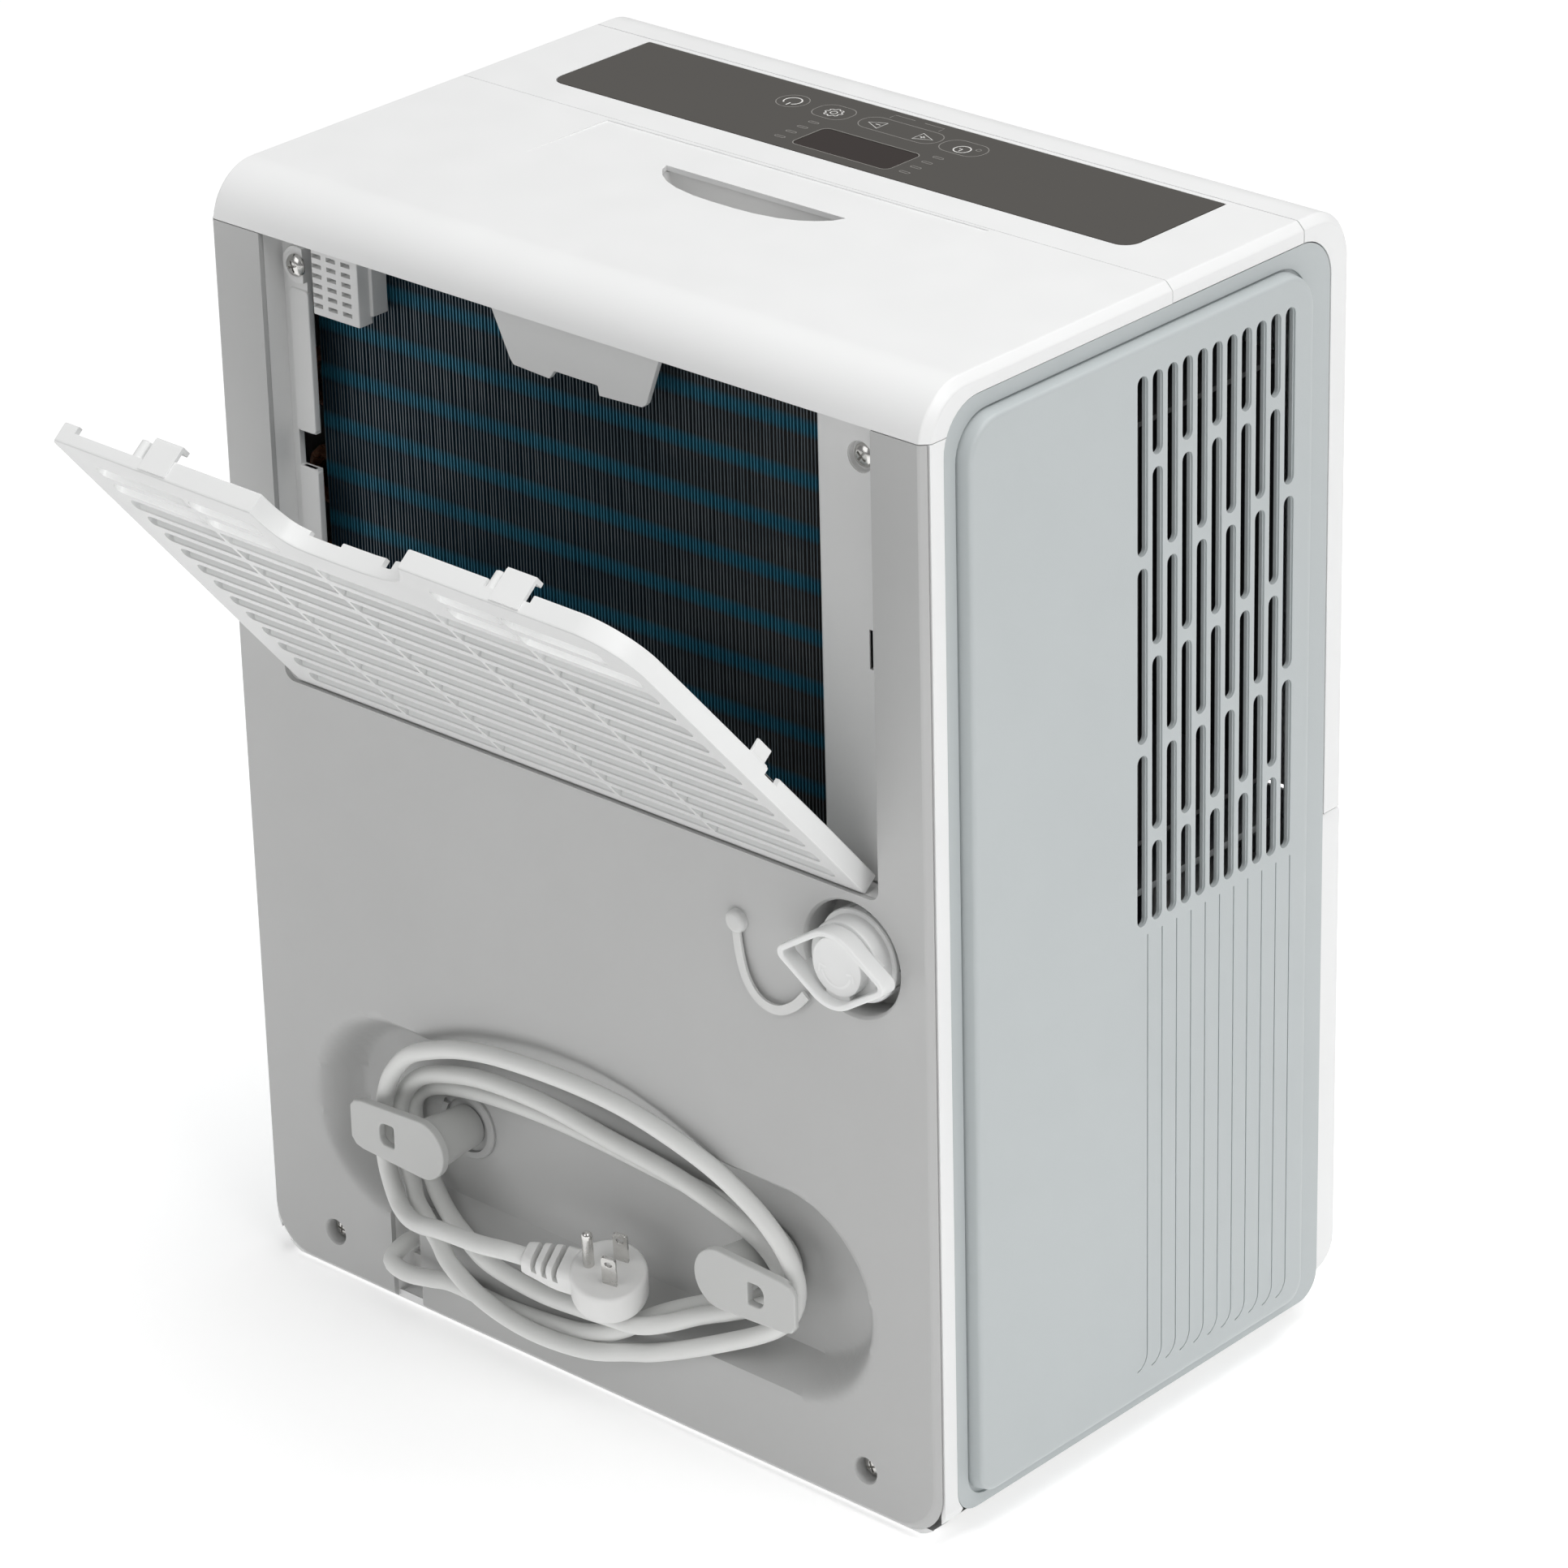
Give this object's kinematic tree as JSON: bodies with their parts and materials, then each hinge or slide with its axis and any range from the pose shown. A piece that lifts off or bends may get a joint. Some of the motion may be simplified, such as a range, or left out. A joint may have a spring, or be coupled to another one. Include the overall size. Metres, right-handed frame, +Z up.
{
  "type": "portable dehumidifier",
  "caption": "Upright portable dehumidifier with a hinged rear grille, pull-out water tank, drain cap, louvred side, touch controls and a cord wound on turning hooks.",
  "frame": {"origin": "centre of the base's underside, in the plane the rubber feet stand on", "axes": "+Z up; the tank and controls face -Y, the intake grille and cord bay face +Y, the louvred side faces -X"},
  "size_m": [0.3914, 0.3782, 0.4951],
  "materials": {
    "shell_white": "moulded white plastic, fine satin",
    "panel_grey": "moulded pale blue-grey plastic, satin",
    "inner_plastic": "plain grey moulding",
    "overlay_graphite": "dark graphite overlay, glossy",
    "display_glass": "smoked display pane",
    "board_green": "circuit board laminate",
    "black_plastic": "black moulding",
    "black_rubber": "soft black rubber",
    "blue_fin": "blue coated aluminium fins",
    "bare_fin": "bare aluminium fins",
    "copper": "drawn copper tube",
    "black_can": "black enamel on a steel can",
    "galvanised": "galvanised sheet steel",
    "plated_steel": "bright nickel or zinc plate",
    "tank_plastic": "smoky tank moulding",
    "filter_net": "woven nylon net in a frame",
    "float_foam": "expanded foam",
    "clear_strap": "soft translucent strap",
    "cord_white": "white flexible cord jacket"
  },
  "bodies": {
    "body": {"rear_cover": "shell_white", "rear_top_cover": "shell_white", "grip_cup": "inner_plastic", "control_top": "shell_white", "control_overlay": "overlay_graphite", "display_window": "display_glass", "display_module": "black_plastic", "control_board": "board_green", "front_cover": "shell_white", "side_panel_louvred": "panel_grey", "side_panel_plain": "panel_grey", "base_pan": "inner_plastic", "foot_1": "black_rubber", "foot_2": "black_rubber", "foot_3": "black_rubber", "foot_4": "black_rubber", "chassis": "galvanised", "tank_switch": "black_plastic", "evaporator_fins": "blue_fin", "evaporator_tubes": "copper", "condenser_fins": "bare_fin", "condenser_tubes": "copper", "discharge_pipe": "copper", "suction_pipe": "copper", "capillary_tube": "copper", "compressor": "black_can", "compressor_grommet_1": "black_rubber", "compressor_grommet_2": "black_rubber", "compressor_grommet_3": "black_rubber", "accumulator": "black_can", "coil_frame": "shell_white", "drip_tray": "inner_plastic", "drain_channel": "inner_plastic", "drain_spout": "inner_plastic", "sensor_housing": "shell_white", "catch_tab": "shell_white", "fan_scroll": "black_plastic", "fan_motor": "galvanised", "cap_tether": "clear_strap", "cover_screw_1": "plated_steel", "cover_screw_2": "plated_steel", "cover_screw_3": "plated_steel", "cover_screw_4": "plated_steel", "cord_gland": "black_rubber", "power_cord": "cord_white", "plug_body": "cord_white", "plug_blade_1": "plated_steel", "plug_blade_2": "plated_steel", "plug_ground_pin": "plated_steel"},
    "grille": {"rear_grille": "shell_white", "air_filter": "filter_net"},
    "hook_left": {"cord_hook_left": "shell_white"},
    "hook_right": {"cord_hook_right": "shell_white"},
    "cap": {"drain_cap": "shell_white"},
    "tank": {"tank_bucket": "tank_plastic", "tank_front": "shell_white", "tank_lid": "inner_plastic"},
    "float": {"tank_float": "float_foam"},
    "rotor": {"fan_wheel": "black_plastic", "fan_shaft": "plated_steel"}
  },
  "joints": [
    {"name": "grille_hinge", "type": "hinge", "parent": "body", "child": "grille", "pos_m": [0, 0.126, 0.2826], "axis": [1, 0, 0], "range_deg": [0, 40]},
    {"name": "hook_left_turn", "type": "hinge", "parent": "body", "child": "hook_left", "pos_m": [0.084, 0.12, 0.09], "axis": [0, -1, 0], "range_deg": [0, 90]},
    {"name": "hook_right_turn", "type": "hinge", "parent": "body", "child": "hook_right", "pos_m": [-0.084, 0.12, 0.09], "axis": [0, 1, 0], "range_deg": [0, 90]},
    {"name": "drain_cap_turn", "type": "hinge", "parent": "body", "child": "cap", "pos_m": [-0.149, 0.125, 0.251], "axis": [0, 1, 0], "range_deg": [0, 90]},
    {"name": "tank_slide", "type": "slide", "parent": "body", "child": "tank", "axis": [0, -1, 0], "range_m": [0, 0.2]},
    {"name": "float_swing", "type": "hinge", "parent": "tank", "child": "float", "pos_m": [0, -0.06, 0.19], "axis": [1, 0, 0], "range_deg": [0, 8]},
    {"name": "fan_spin", "type": "hinge", "parent": "body", "child": "rotor", "pos_m": [0.005, -0.05, 0.352], "axis": [0, 1, 0], "continuous": true}
  ]
}
